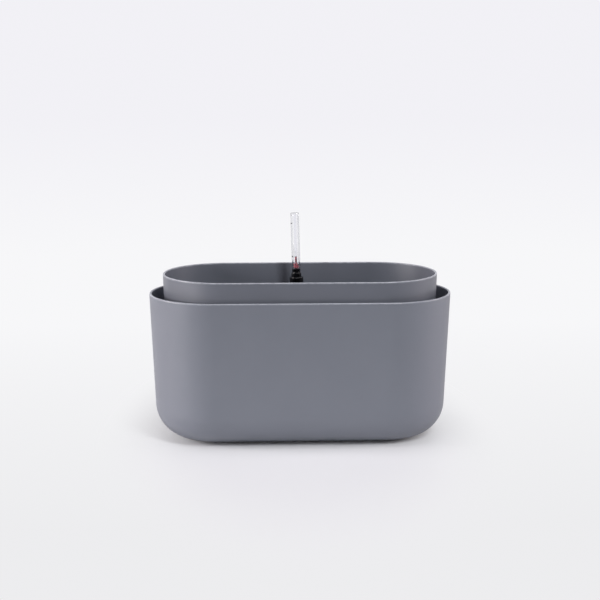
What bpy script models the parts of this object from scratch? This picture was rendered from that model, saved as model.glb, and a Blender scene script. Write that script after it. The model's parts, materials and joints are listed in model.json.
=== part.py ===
"""Oblong self-watering plant pot with a float gauge.

An outer pot holds the water. A taller liner stands inside it on four posts and
holds the soil. Two slotted wick cups hang from the liner's floor into the water.
A float gauge stands in a socket at the back of the liner: the float lifts a red
rod, whose tip shows in a clear tube above the rim.

Metres, +Z up. The origin is on the table, under the middle of the outer pot.
X runs along the pot, -Y is the front.
"""

import math

import bmesh
import bpy
from mathutils import Matrix

# Outer pot
POT_LENGTH = 0.280
POT_DEPTH = 0.125
POT_HEIGHT = 0.136
POT_WALL = 0.0022
POT_FLOOR = 0.0028
POT_DRAFT = math.radians(2.3)
POT_FOOT_RADIUS = 0.032
BASE_RECESS = 0.0010
BASE_RING_WIDTH = 0.0060

# Liner
LINER_END_GAP = 0.0106
LINER_SIDE_GAP = 0.0020
LINER_RISE = 0.018
LINER_WALL = 0.0020
LINER_FLOOR = 0.0022
LINER_DRAFT = math.radians(1.7)
LINER_FOOT_RADIUS = 0.012
RESERVOIR_DEPTH = 0.0502
DRAIN_HOLE_RADIUS = 0.0025
DRAIN_COLUMNS = 9
DRAIN_ROWS = 5
DRAIN_LAND = 0.0030

# Posts that the liner stands on, and the rings on the pot's floor that hold them
POST_FOOT_RADIUS = 0.0050
POST_TAPER = 0.0025
POST_WALL = 0.0016
POST_EDGE_LAND = 0.0040
RING_WALL = 0.0014
RING_HEIGHT = 0.0030

# Wick cups
CUP_MOUTH_RADIUS = 0.0190
CUP_TAPER = 0.0035
CUP_WALL = 0.0014
CUP_FLANGE_WIDTH = 0.0030
CUP_FLANGE_THICKNESS = 0.0016
CUP_FLOOR_GAP = 0.0015
CUP_POST_LAND = 0.0005
CUP_SLOT_WIDTH = 0.0024
CUP_SLOT_LAND = 0.0060
CUP_SLOTTED_SIDES = 4

# Float and its red rod
FLOAT_RADIUS = 0.0038
FLOAT_LENGTH = 0.036
FLOAT_TRAVEL = 0.032
ROD_RADIUS = 0.0009
SHOULDER_HEIGHT = 0.0041
TIP_ABOVE_SHOULDER = 0.0068

# Float gauge, which leans a little to the left in its loose socket
GAUGE_BACK_GAP = 0.0193
GAUGE_LEAN = math.radians(1.6)
SHAFT_WALL = 0.0011
SHAFT_FLANGE_LAND = 0.00155
SHAFT_FLANGE_THICKNESS = 0.0016
CAP_WALL = 0.00085
CAP_GRIP = 0.0080
STRAINER_HEIGHT = 0.0100
STRAINER_FLOOR = 0.0012
STRAINER_SLOT_WIDTH = 0.0016
STRAINER_SLOTTED_SIDES = 3
SOCKET_WALL = 0.0018
SOCKET_HEIGHT = 0.0100
COLLAR_BELOW_RIM = 0.0069
COLLAR_TOP_WEB = 0.0018
RING_LEDGE = 0.00075
LEDGE_HEIGHT = 0.0041
SPIGOT_WALL = 0.00125
SPIGOT_HEIGHT = 0.0046
TUBE_WALL = 0.0011
TUBE_END = 0.0016
TUBE_HEADROOM = 0.0082

# Clearances
SEAT_GAP = 0.0003
FLOAT_GAP = 0.0005
ROD_GAP = 0.00045
SHOULDER_GAP = 0.0005
POST_GAP = 0.0005
CUP_GAP = 0.0005
STRAINER_GAP = 0.0005
SOCKET_GAP = 0.0007

# How finely round forms are divided
END_STEPS = 26
FOOT_STEPS = 8
RIM_STEPS = 4
ROUND_STEPS = 28
SLIM_STEPS = 16
HOLE_STEPS = 12

# Outer pot, worked out
POT_LENGTH_HALF = POT_LENGTH / 2
POT_DEPTH_HALF = POT_DEPTH / 2
POT_SLOPE = math.tan(POT_DRAFT)
POT_STRAIGHT_HALF = POT_LENGTH_HALF - POT_DEPTH_HALF
POT_INSIDE_RADIUS = POT_FOOT_RADIUS - POT_FLOOR
POT_FLAT_INSET = (POT_HEIGHT - POT_FOOT_RADIUS) * POT_SLOPE + POT_WALL + POT_INSIDE_RADIUS
POT_FLAT_HALF = POT_DEPTH_HALF - POT_FLAT_INSET

# Liner and its posts, worked out
LINER_LENGTH_HALF = POT_LENGTH_HALF - POT_WALL - LINER_END_GAP
LINER_DEPTH_HALF = POT_DEPTH_HALF - POT_WALL - LINER_SIDE_GAP
LINER_TOP = POT_HEIGHT + LINER_RISE
LINER_SEAT = POT_FLOOR + SEAT_GAP
LINER_UNDERSIDE = POT_FLOOR + RESERVOIR_DEPTH
LINER_FLOOR_TOP = LINER_UNDERSIDE + LINER_FLOOR
LINER_SLOPE = math.tan(LINER_DRAFT)
LINER_WALL_FOOT = LINER_UNDERSIDE + LINER_FOOT_RADIUS
LINER_FLAT_INSET = (LINER_TOP - LINER_WALL_FOOT) * LINER_SLOPE + LINER_FOOT_RADIUS
LINER_FLAT_LENGTH_HALF = LINER_LENGTH_HALF - LINER_FLAT_INSET
LINER_FLAT_HALF = LINER_DEPTH_HALF - LINER_FLAT_INSET
POST_HEAD_RADIUS = POST_FOOT_RADIUS + POST_TAPER
POST_X = POT_STRAIGHT_HALF
POST_Y = POT_FLAT_HALF - POST_FOOT_RADIUS - POST_EDGE_LAND

# Wick cups, worked out: each hangs between the posts and the middle
CUP_FOOT_RADIUS = CUP_MOUTH_RADIUS - CUP_TAPER
CUP_FLANGE_RADIUS = CUP_MOUTH_RADIUS + CUP_FLANGE_WIDTH
CUP_X = POST_X - POST_HEAD_RADIUS - CUP_POST_LAND - CUP_FLANGE_RADIUS
CUP_SEAT = LINER_FLOOR_TOP + SEAT_GAP
CUP_DEPTH = CUP_SEAT - POT_FLOOR - CUP_FLOOR_GAP

# Gauge radii, each from the one inside it
SPIGOT_BORE = ROD_RADIUS + ROD_GAP
SPIGOT_RADIUS = SPIGOT_BORE + SPIGOT_WALL
TUBE_BORE = SPIGOT_RADIUS + SEAT_GAP
TUBE_RADIUS = TUBE_BORE + TUBE_WALL
SHOULDER_RADIUS = TUBE_BORE - SHOULDER_GAP
LEDGE_RADIUS = TUBE_RADIUS + RING_LEDGE
SHAFT_BORE = FLOAT_RADIUS + FLOAT_GAP
SHAFT_RADIUS = SHAFT_BORE + SHAFT_WALL
CAP_BORE = SHAFT_RADIUS + SEAT_GAP
CAP_RADIUS = CAP_BORE + CAP_WALL
SOCKET_BORE = CAP_RADIUS + SOCKET_GAP
SOCKET_RADIUS = SOCKET_BORE + SOCKET_WALL
SHAFT_FLANGE_RADIUS = SOCKET_BORE + SHAFT_FLANGE_LAND

# Gauge heights above the table, along its own axis, from its foot over the pot's
# curved corner to the top of the tube
GAUGE_Y = LINER_DEPTH_HALF - LINER_WALL - GAUGE_BACK_GAP
LEAN_RISE = math.tan(GAUGE_LEAN)
FOOT_PAST_FLAT = min(max(GAUGE_Y + SHAFT_RADIUS - POT_FLAT_HALF, 0.0), POT_INSIDE_RADIUS)
CORNER_RISE = POT_INSIDE_RADIUS - math.sqrt(POT_INSIDE_RADIUS**2 - FOOT_PAST_FLAT**2)
STRAINER_BOTTOM = POT_FLOOR + CORNER_RISE + STRAINER_GAP + SHAFT_RADIUS * LEAN_RISE
STRAINER_STEP = STRAINER_BOTTOM + STRAINER_HEIGHT
SHAFT_BOTTOM = STRAINER_STEP + SEAT_GAP
FLOAT_BOTTOM = STRAINER_BOTTOM + STRAINER_FLOOR + SEAT_GAP
FLOAT_TOP = FLOAT_BOTTOM + FLOAT_LENGTH
SOCKET_TOP = LINER_FLOOR_TOP + SOCKET_HEIGHT
FLANGE_SEAT = SOCKET_TOP + SEAT_GAP + SHAFT_FLANGE_RADIUS * LEAN_RISE
LEDGE_TOP = LINER_TOP - COLLAR_BELOW_RIM
COLLAR_SHOULDER = LEDGE_TOP - LEDGE_HEIGHT
COLLAR_WEB_BOTTOM = COLLAR_SHOULDER - COLLAR_TOP_WEB
SHAFT_TOP = COLLAR_WEB_BOTTOM - SEAT_GAP
SPIGOT_TOP = LEDGE_TOP + SPIGOT_HEIGHT
ROD_SHOULDER = SPIGOT_TOP + SEAT_GAP
ROD_SHOULDER_TOP = ROD_SHOULDER + SHOULDER_HEIGHT
ROD_TIP = ROD_SHOULDER_TOP + TIP_ABOVE_SHOULDER
TUBE_TOP = ROD_TIP + FLOAT_TRAVEL + TUBE_HEADROOM + TUBE_END


# Shared helpers


def material(name, colour, roughness, alpha=1.0):
    """A plain Principled BSDF in the piece's own colour."""
    made = bpy.data.materials.new(name)
    made.use_nodes = True
    shader = made.node_tree.nodes["Principled BSDF"]
    shader.inputs["Base Color"].default_value = (*colour, 1.0)
    shader.inputs["Roughness"].default_value = roughness
    shader.inputs["Metallic"].default_value = 0.0
    shader.inputs["Alpha"].default_value = alpha
    return made


def piece(name, shape, finish=None, place=(0, 0, 0), parent=None):
    """Turns a bmesh into an object, smooth but for its sharp edges."""
    bmesh.ops.recalc_face_normals(shape, faces=shape.faces)
    mesh = bpy.data.meshes.new(name)
    shape.to_mesh(mesh)
    shape.free()
    mesh.shade_smooth()
    mesh.set_sharp_from_angle(angle=math.radians(35))
    made = bpy.data.objects.new(name, mesh)
    bpy.context.scene.collection.objects.link(made)
    made.location = place
    made.parent = parent
    if finish:
        mesh.materials.append(finish)
    return made


def boolean(target, name, shape, operation):
    """Adds a shape to a piece, or cuts it away, with a helper that stays out of renders."""
    helper = piece(name, shape, parent=target)
    helper.hide_render = True
    helper.display_type = "WIRE"
    step = target.modifiers.new(name, "BOOLEAN")
    step.operation = operation
    step.solver = "EXACT"
    step.object = helper


def turned(outline, steps, places=((0, 0),)):
    """Spins a closed outline of (radius, height) points about Z, once at each place."""
    whole = bmesh.new()
    for x, y in places:
        corners = [whole.verts.new((x + r, y, z)) for r, z in outline]
        pairs = zip(corners, corners[1:] + corners[:1])
        off_axis = [(a, b) for a, b in pairs if max(a.co.x, b.co.x) > x]
        bmesh.ops.spin(
            whole,
            geom=[whole.edges.new(pair) for pair in off_axis],
            cent=(x, y, 0),
            axis=(0, 0, 1),
            angle=math.tau,
            steps=steps,
            use_merge=True,
        )
    bmesh.ops.remove_doubles(whole, verts=whole.verts, dist=1e-6)
    return whole


def arc(centre, radius, start, end, steps):
    """Points (across, up) along an arc, with its angles in degrees."""
    turns = [math.radians(start + (end - start) * i / steps) for i in range(steps + 1)]
    return [(centre[0] + radius * math.cos(t), centre[1] + radius * math.sin(t)) for t in turns]


# Oblong shells, for the outer pot and the liner


def oblong(length_half, end_radius, z):
    """Points round an oblong with round ends, anticlockwise from above."""
    straight = length_half - end_radius
    points = []
    for side in (1, -1):
        for i in range(END_STEPS + 1):
            turn = math.pi * (i / END_STEPS - 0.5)
            x = straight + end_radius * math.cos(turn)
            y = end_radius * math.sin(turn)
            points.append((side * x, side * y, z))
    return points


def loft_oblong(length_half, depth_half, profile):
    """A closed body through oblong rings given as (inset, height)."""
    shape = bmesh.new()
    rings = []
    for inset, z in profile:
        points = oblong(length_half - inset, depth_half - inset, z)
        rings.append([shape.verts.new(p) for p in points])
    for low, high in zip(rings, rings[1:]):
        for i, corner in enumerate(low):
            after = (i + 1) % len(low)
            shape.faces.new((corner, low[after], high[after], high[i]))
    shape.faces.new(rings[0])
    shape.faces.new(rings[-1])
    return shape


def shell_profile(bottom, top, foot_radius, slope, wall, floor):
    """A drafted pot's section: foot curve, outer wall, round rim, inner wall, inner curve."""
    flare = (top - bottom - foot_radius) * slope
    inner_radius = max(foot_radius - floor, wall)
    outer_centre = (flare + foot_radius, bottom + foot_radius)
    inner_centre = (flare + wall + inner_radius, bottom + floor + inner_radius)
    outside = arc(outer_centre, foot_radius, -90, -180, FOOT_STEPS)
    rim = arc((wall / 2, top - wall / 2), wall / 2, 180, 0, RIM_STEPS)
    inside = arc(inner_centre, inner_radius, -180, -90, FOOT_STEPS)
    return outside + rim + inside


# Outer pot


def post_places():
    return [(x, y) for x in (-POST_X, POST_X) for y in (-POST_Y, POST_Y)]


def make_outer_pot(finish):
    """The water pot: one shell, recessed underneath, with rings that hold the posts."""
    shell = shell_profile(0, POT_HEIGHT, POT_FOOT_RADIUS, POT_SLOPE, POT_WALL, POT_FLOOR)
    base_inset = shell[0][0] + BASE_RING_WIDTH
    recess = [(base_inset + BASE_RECESS, BASE_RECESS), (base_inset, 0)]
    pot = piece("outer_pot", loft_oblong(POT_LENGTH_HALF, POT_DEPTH_HALF, recess + shell), finish)
    inner = POST_FOOT_RADIUS + POST_GAP
    outer = inner + RING_WALL
    low = (BASE_RECESS + POT_FLOOR) / 2
    high = POT_FLOOR + RING_HEIGHT
    ring = [(inner, low), (outer, low), (outer, high), (inner, high)]
    boolean(pot, "post_rings", turned(ring, SLIM_STEPS, post_places()), "UNION")


# Liner


def cup_places():
    return [(-CUP_X, 0), (CUP_X, 0)]


def drain_places():
    """Evenly spread rows over the liner's flat floor, clear of cups, posts and socket."""
    taken = [(x, y, POST_HEAD_RADIUS) for x, y in post_places()]
    taken += [(x, y, CUP_FLANGE_RADIUS) for x, y in cup_places()]
    taken.append((0, GAUGE_Y, SOCKET_RADIUS))
    room = DRAIN_HOLE_RADIUS + DRAIN_LAND
    row_y = LINER_FLAT_HALF - room
    row_x = LINER_FLAT_LENGTH_HALF - LINER_FLAT_HALF
    places = [(-row_x - row_y, 0), (row_x + row_y, 0)]
    for i in range(DRAIN_COLUMNS):
        for j in range(DRAIN_ROWS):
            x = row_x * (2 * i / (DRAIN_COLUMNS - 1) - 1)
            y = row_y * (2 * j / (DRAIN_ROWS - 1) - 1)
            if all(math.hypot(x - a, y - b) > r + room for a, b, r in taken):
                places.append((x, y))
    return places


def bore_through_floor(radius, top):
    """A cutter's outline that passes right through the liner's floor."""
    low = LINER_UNDERSIDE - LINER_SEAT - LINER_FLOOR
    high = top - LINER_SEAT + LINER_FLOOR
    return [(0, low), (radius, low), (radius, high), (0, high)]


def make_inner_pot(finish):
    """The soil liner, which stands on four hollow posts. Its own heights start at their feet."""
    shell = shell_profile(
        LINER_UNDERSIDE, LINER_TOP, LINER_FOOT_RADIUS, LINER_SLOPE, LINER_WALL, LINER_FLOOR
    )
    shell = [(inset, z - LINER_SEAT) for inset, z in shell]
    body = loft_oblong(LINER_LENGTH_HALF, LINER_DEPTH_HALF, shell)
    liner = piece("inner_pot", body, finish, (0, 0, LINER_SEAT))

    mid_floor = (LINER_UNDERSIDE + LINER_FLOOR_TOP) / 2 - LINER_SEAT
    above_floor = LINER_FLOOR_TOP + LINER_FLOOR - LINER_SEAT
    post = [(0, 0), (POST_FOOT_RADIUS, 0), (POST_HEAD_RADIUS, mid_floor), (0, mid_floor)]
    boolean(liner, "posts", turned(post, SLIM_STEPS, post_places()), "UNION")
    hollow = [
        (0, POST_WALL),
        (POST_FOOT_RADIUS - POST_WALL, POST_WALL),
        (POST_HEAD_RADIUS - POST_WALL, above_floor),
        (0, above_floor),
    ]
    boolean(liner, "post_hollows", turned(hollow, SLIM_STEPS, post_places()), "DIFFERENCE")

    socket_place = [(0, GAUGE_Y)]
    rim = SOCKET_TOP - LINER_SEAT
    socket = [(0, mid_floor), (SOCKET_RADIUS, mid_floor), (SOCKET_RADIUS, rim), (0, rim)]
    boolean(liner, "socket", turned(socket, ROUND_STEPS, socket_place), "UNION")
    bore = bore_through_floor(SOCKET_BORE, SOCKET_TOP)
    boolean(liner, "socket_bore", turned(bore, ROUND_STEPS, socket_place), "DIFFERENCE")

    mouth = bore_through_floor(CUP_MOUTH_RADIUS + CUP_GAP, LINER_FLOOR_TOP)
    boolean(liner, "cup_mouths", turned(mouth, ROUND_STEPS, cup_places()), "DIFFERENCE")
    drain = bore_through_floor(DRAIN_HOLE_RADIUS, LINER_FLOOR_TOP)
    boolean(liner, "drains", turned(drain, HOLE_STEPS, drain_places()), "DIFFERENCE")


# Wick cups


def slot_bars(width, length, low, high, count):
    """Upright bars across the axis, evenly turned. Each cuts two opposite slots in a wall."""
    whole = bmesh.new()
    size = Matrix.Diagonal((length, width, high - low, 1))
    rise = Matrix.Translation((0, 0, (low + high) / 2))
    for i in range(count):
        turn = Matrix.Rotation(math.pi * (i + 0.5) / count, 4, "Z")
        bmesh.ops.create_cube(whole, size=1, matrix=turn @ rise @ size)
    return whole


def make_wick_cup(name, place, finish):
    """A tapered, slotted cup that drops through the liner's floor and hangs by its flange."""
    outline = [
        (0, -CUP_DEPTH),
        (CUP_FOOT_RADIUS, -CUP_DEPTH),
        (CUP_MOUTH_RADIUS, 0),
        (CUP_FLANGE_RADIUS, 0),
        (CUP_FLANGE_RADIUS, CUP_FLANGE_THICKNESS),
        (CUP_MOUTH_RADIUS - CUP_WALL, CUP_FLANGE_THICKNESS),
        (CUP_FOOT_RADIUS - CUP_WALL, CUP_WALL - CUP_DEPTH),
        (0, CUP_WALL - CUP_DEPTH),
    ]
    cup = piece(name, turned(outline, ROUND_STEPS), finish, (*place, CUP_SEAT))
    low = CUP_SLOT_LAND - CUP_DEPTH
    high = LINER_UNDERSIDE - CUP_SEAT - CUP_SLOT_LAND
    across = 3 * CUP_MOUTH_RADIUS
    bars = slot_bars(CUP_SLOT_WIDTH, across, low, high, CUP_SLOTTED_SIDES)
    boolean(cup, f"{name}_slots", bars, "DIFFERENCE")


# Float gauge, whose pieces are all turned about its own leaning axis


def gauge_piece(name, outline, steps, finish, axis):
    """A turned piece of the gauge. The outline's heights are measured from the table."""
    from_pivot = [(r, z - SOCKET_TOP) for r, z in outline]
    return piece(name, turned(from_pivot, steps), finish, parent=axis)


def make_gauge_shaft(finish, axis):
    """The long column: a straight tube, with the flange that it stands on."""
    flange_top = FLANGE_SEAT + SHAFT_FLANGE_THICKNESS
    outline = [
        (SHAFT_BORE, SHAFT_BOTTOM),
        (SHAFT_RADIUS, SHAFT_BOTTOM),
        (SHAFT_RADIUS, FLANGE_SEAT),
        (SHAFT_FLANGE_RADIUS, FLANGE_SEAT),
        (SHAFT_FLANGE_RADIUS, flange_top),
        (SHAFT_RADIUS, flange_top),
        (SHAFT_RADIUS, SHAFT_TOP),
        (SHAFT_BORE, SHAFT_TOP),
    ]
    gauge_piece("gauge_shaft", outline, ROUND_STEPS, finish, axis)


def make_strainer_cap(finish, axis):
    """The slotted cap that grips the shaft's foot, lets water in and carries the float."""
    floor_top = STRAINER_BOTTOM + STRAINER_FLOOR
    outline = [
        (0, STRAINER_BOTTOM),
        (SHAFT_RADIUS, STRAINER_BOTTOM),
        (SHAFT_RADIUS, STRAINER_STEP - CAP_WALL),
        (CAP_RADIUS, STRAINER_STEP - CAP_WALL),
        (CAP_RADIUS, STRAINER_STEP + CAP_GRIP),
        (CAP_BORE, STRAINER_STEP + CAP_GRIP),
        (CAP_BORE, STRAINER_STEP),
        (SHAFT_BORE, STRAINER_STEP),
        (SHAFT_BORE, floor_top),
        (0, floor_top),
    ]
    cap = gauge_piece("strainer_cap", outline, ROUND_STEPS, finish, axis)
    low = floor_top + STRAINER_FLOOR - SOCKET_TOP
    high = STRAINER_STEP - CAP_WALL - STRAINER_FLOOR - SOCKET_TOP
    across = 3 * CAP_RADIUS
    bars = slot_bars(STRAINER_SLOT_WIDTH, across, low, high, STRAINER_SLOTTED_SIDES)
    boolean(cap, "strainer_slots", bars, "DIFFERENCE")


def make_gauge_collar(finish, axis):
    """The stepped fitting: a cap over the shaft, a ledge, and a spigot for the clear tube."""
    collar_bottom = COLLAR_WEB_BOTTOM - CAP_GRIP
    soften = CAP_WALL / 2
    outline = [
        (SPIGOT_BORE, COLLAR_WEB_BOTTOM),
        (CAP_BORE, COLLAR_WEB_BOTTOM),
        (CAP_BORE, collar_bottom),
        (CAP_RADIUS, collar_bottom),
        (CAP_RADIUS, COLLAR_SHOULDER - soften),
        (CAP_RADIUS - soften, COLLAR_SHOULDER),
        (LEDGE_RADIUS, COLLAR_SHOULDER),
        (LEDGE_RADIUS, LEDGE_TOP - soften),
        (LEDGE_RADIUS - soften, LEDGE_TOP),
        (SPIGOT_RADIUS, LEDGE_TOP),
        (SPIGOT_RADIUS, SPIGOT_TOP),
        (SPIGOT_BORE, SPIGOT_TOP),
    ]
    gauge_piece("gauge_collar", outline, ROUND_STEPS, finish, axis)


def make_sight_tube(finish, axis):
    """The clear tube, closed at its top, pushed over the collar's spigot."""
    bottom = LEDGE_TOP + SEAT_GAP
    soften = TUBE_END / 3
    outline = [
        (TUBE_BORE, bottom),
        (TUBE_RADIUS, bottom),
        (TUBE_RADIUS, TUBE_TOP - soften),
        (TUBE_RADIUS - soften, TUBE_TOP),
        (0, TUBE_TOP),
        (0, TUBE_TOP - TUBE_END),
        (TUBE_BORE, TUBE_TOP - TUBE_END),
    ]
    gauge_piece("sight_tube", outline, ROUND_STEPS, finish, axis)


def make_indicator_rod(finish, axis):
    """The red rod: it stands on the float, and its shoulder rests on the spigot when dry."""
    bottom = FLOAT_TOP + SEAT_GAP
    soften = ROD_RADIUS / 2
    outline = [
        (0, bottom),
        (ROD_RADIUS, bottom),
        (ROD_RADIUS, ROD_SHOULDER),
        (SHOULDER_RADIUS, ROD_SHOULDER),
        (SHOULDER_RADIUS, ROD_SHOULDER_TOP - soften),
        (SHOULDER_RADIUS - soften, ROD_SHOULDER_TOP),
        (ROD_RADIUS, ROD_SHOULDER_TOP),
        (ROD_RADIUS, ROD_TIP - soften),
        (ROD_RADIUS - soften, ROD_TIP),
        (0, ROD_TIP),
    ]
    gauge_piece("indicator_rod", outline, SLIM_STEPS, finish, axis)


def make_float(finish, axis):
    """The slim foam float inside the shaft, under the rod."""
    soften = FLOAT_RADIUS / 4
    outline = [
        (0, FLOAT_BOTTOM),
        (FLOAT_RADIUS - soften, FLOAT_BOTTOM),
        (FLOAT_RADIUS, FLOAT_BOTTOM + soften),
        (FLOAT_RADIUS, FLOAT_TOP - soften),
        (FLOAT_RADIUS - soften, FLOAT_TOP),
        (0, FLOAT_TOP),
    ]
    gauge_piece("float", outline, SLIM_STEPS, finish, axis)


def gauge_axis():
    """The gauge's own frame: its pivot is in the socket's mouth, and its top leans to -X."""
    axis = bpy.data.objects.new("gauge_axis", None)
    bpy.context.scene.collection.objects.link(axis)
    axis.location = (0, GAUGE_Y, SOCKET_TOP)
    axis.rotation_euler = (0, -GAUGE_LEAN, 0)
    return axis


# The whole object

for old in list(bpy.data.objects):
    bpy.data.objects.remove(old)

pot_grey = material("pot_grey_plastic", (0.165, 0.177, 0.209), 0.45)
liner_grey = material("liner_grey_plastic", (0.155, 0.162, 0.192), 0.48)
black = material("black_plastic", (0.012, 0.012, 0.013), 0.25)
clear = material("clear_plastic", (0.93, 0.93, 0.96), 0.05, 0.35)
red = material("red_plastic", (0.55, 0.03, 0.05), 0.35)
foam = material("white_foam", (0.86, 0.86, 0.84), 0.8)

make_outer_pot(pot_grey)
make_inner_pot(liner_grey)
for cup_name, cup_place in zip(("left_wick_cup", "right_wick_cup"), cup_places()):
    make_wick_cup(cup_name, cup_place, black)

gauge = gauge_axis()
make_gauge_shaft(black, gauge)
make_strainer_cap(black, gauge)
make_gauge_collar(black, gauge)
make_sight_tube(clear, gauge)
make_indicator_rod(red, gauge)
make_float(foam, gauge)
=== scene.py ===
import json
import math

import bmesh
import bpy
from mathutils import Matrix, Vector


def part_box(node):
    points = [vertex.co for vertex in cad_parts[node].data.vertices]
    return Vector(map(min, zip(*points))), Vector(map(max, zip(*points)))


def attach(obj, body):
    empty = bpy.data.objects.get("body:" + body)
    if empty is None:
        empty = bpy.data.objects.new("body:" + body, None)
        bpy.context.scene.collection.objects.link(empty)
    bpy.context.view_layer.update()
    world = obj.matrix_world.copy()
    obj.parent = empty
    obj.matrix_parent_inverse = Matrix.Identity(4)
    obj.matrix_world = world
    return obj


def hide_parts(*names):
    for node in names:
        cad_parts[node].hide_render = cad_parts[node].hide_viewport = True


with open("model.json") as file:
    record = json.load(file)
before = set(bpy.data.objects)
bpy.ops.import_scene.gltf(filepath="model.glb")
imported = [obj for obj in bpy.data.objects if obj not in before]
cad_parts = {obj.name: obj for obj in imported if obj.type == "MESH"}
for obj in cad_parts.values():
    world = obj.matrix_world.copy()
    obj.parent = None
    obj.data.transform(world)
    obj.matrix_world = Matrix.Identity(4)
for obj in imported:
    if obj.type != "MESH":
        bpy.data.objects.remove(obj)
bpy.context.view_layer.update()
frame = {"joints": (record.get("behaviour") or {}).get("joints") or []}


# Camera
# It stands 1.2 m in front of the pot, a little to the left and above the rims. A long lens
# tilted down shows both rims as narrow ovals. Its tilt and its turn are in radians.
CAMERA_PLACE = (-0.0465, -1.1991, 0.3560)
CAMERA_TILT = 0.1882
CAMERA_TURN = 0.0386
CAMERA_LENS = 78.54
CAMERA_NEAREST = 0.01

camera_data = bpy.data.cameras.new("camera")
camera_data.lens = CAMERA_LENS
camera_data.clip_start = CAMERA_NEAREST
camera = bpy.data.objects.new("camera", camera_data)
bpy.context.scene.collection.objects.link(camera)
camera.location = CAMERA_PLACE
camera.rotation_euler = (math.pi / 2 - CAMERA_TILT, 0, -CAMERA_TURN)
bpy.context.scene.camera = camera


# Outer pot
# The water pot is one thin polypropylene shell with a fine matt skin and a full round rim.
# Its walls flare so that it leaves its mould, and run in a broad curve into the flat ring that
# it stands on, round a shallow recess.
POT_WALL = 0.0022
POT_FLOOR = 0.0028
POT_SLOPE = math.tan(math.radians(2.3))
POT_FOOT_RADIUS = 0.032
BASE_RECESS = 0.0010
BASE_RING_WIDTH = 0.0060
POST_X = 0.0775
POST_Y = 0.0179
POST_FOOT_RADIUS = 0.0050
RING_GAP = 0.0005
RING_WALL = 0.0014
RING_HEIGHT = 0.0030
GATE_RADIUS = 0.0016
GATE_HEIGHT = 0.0004
FOOT_STEPS = 24
RIM_STEPS = 12
END_STEPS = 64
TURN_STEPS = 64
POST_STEPS = 40
GATE_STEPS = 24
MERGE_DISTANCE = 1e-7
MOST_OF_AN_EDGE = 0.45
SHARP_ANGLE = math.radians(40)
POT_GREY = (0.194, 0.206, 0.243, 1)
POT_GREY_DARK = (0.186, 0.198, 0.235, 1)
# The rubbed grey is lighter mostly as a painted highlight of the light along the round rim, and a
# little for real wear.
POT_RIM_WEAR_AND_HIGHLIGHT = (0.400, 0.415, 0.460, 1)
MATT_ROUGHNESS = (0.35, 0.45)
MATT_GRAIN_DEPTH = 0.00006
MOTTLE_CONTRAST = (0.3, 0.7)
RIM_BAND_DEPTH = 0.0016
RUBBED_ROUGHNESS_SHARE = 0.62
RIM_BAND_CONTRAST = (0.35, 0.6)
RIM_BAND_LEAST = 0.45


def arc(centre, radius, start, end, steps):
    """Points (across, up) along an arc, with its angles in degrees."""
    turns = [math.radians(start + (end - start) * i / steps) for i in range(steps + 1)]
    return [(centre[0] + radius * math.cos(t), centre[1] + radius * math.sin(t)) for t in turns]


def shell_outline(bottom, top, foot_radius, slope, wall, floor):
    """A drafted pot's section: foot curve, outer wall, round rim, inner wall, inner curve."""
    flare = (top - bottom - foot_radius) * slope
    inner_radius = foot_radius - floor
    outer_centre = (flare + foot_radius, bottom + foot_radius)
    inner_centre = (flare + wall + inner_radius, bottom + floor + inner_radius)
    outside = arc(outer_centre, foot_radius, -90, -180, FOOT_STEPS)
    rim = arc((wall / 2, top - wall / 2), wall / 2, 180, 0, RIM_STEPS)
    inside = arc(inner_centre, inner_radius, -180, -90, FOOT_STEPS)
    return outside + rim + inside


def peg_outline(low_radius, high_radius, low, high):
    """A solid turned peg's closed (radius, height) outline, straight or tapered."""
    return [(0, low), (low_radius, low), (high_radius, high), (0, high)]


def join_rings(shape, rings):
    """Joins each ring of corners to the next with four-sided faces, and closes both ends."""
    for low, high in zip(rings, rings[1:]):
        for i, corner in enumerate(low):
            after = (i + 1) % len(low)
            shape.faces.new((corner, low[after], high[after], high[i]))
    shape.faces.new(rings[0])
    shape.faces.new(rings[-1])


def loft_oblong(length_half, depth_half, outline):
    """A closed body through rings with two straight sides and two round ends."""
    shape = bmesh.new()
    straight = length_half - depth_half
    rings = []
    for inset, z in outline:
        radius = depth_half - inset
        ring = []
        for side in (1, -1):
            for turn in range(END_STEPS + 1):
                angle = math.pi * (turn / END_STEPS - 0.5)
                x = side * (straight + radius * math.cos(angle))
                ring.append(shape.verts.new((x, side * radius * math.sin(angle), z)))
        rings.append(ring)
    join_rings(shape, rings)
    return shape


def soften(outline, radius, steps=4):
    """Rounds every corner of a closed (across, up) outline that isn't on the axis."""
    corners = [Vector(point) for point in outline]
    points = []
    for before, corner, after in zip(corners[-1:] + corners, corners, corners[1:] + corners[:1]):
        if corner.x == 0:
            points.append(tuple(corner))
            continue
        back = before - corner
        ahead = after - corner
        reach = min(radius, back.length * MOST_OF_AN_EDGE, ahead.length * MOST_OF_AN_EDGE)
        start = corner + back.normalized() * reach
        end = corner + ahead.normalized() * reach
        for i in range(steps + 1):
            share = i / steps
            bend = start.lerp(corner, share).lerp(corner.lerp(end, share), share)
            points.append(tuple(bend))
    return points


def turned(outline, places=((0, 0),), steps=TURN_STEPS):
    """Spins a closed outline of (radius, height) points about Z, once at each place."""
    whole = bmesh.new()
    for x, y in places:
        corners = [whole.verts.new((x + r, y, z)) for r, z in outline]
        pairs = zip(corners, corners[1:] + corners[:1])
        # An edge that lies on the axis has nothing to spin.
        edges = [whole.edges.new(pair) for pair in pairs if max(p.co.x for p in pair) > x]
        bmesh.ops.spin(
            whole,
            geom=edges,
            cent=(x, y, 0),
            axis=(0, 0, 1),
            angle=math.tau,
            steps=steps,
            use_merge=True,
        )
    bmesh.ops.remove_doubles(whole, verts=whole.verts, dist=MERGE_DISTANCE)
    return whole


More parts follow.
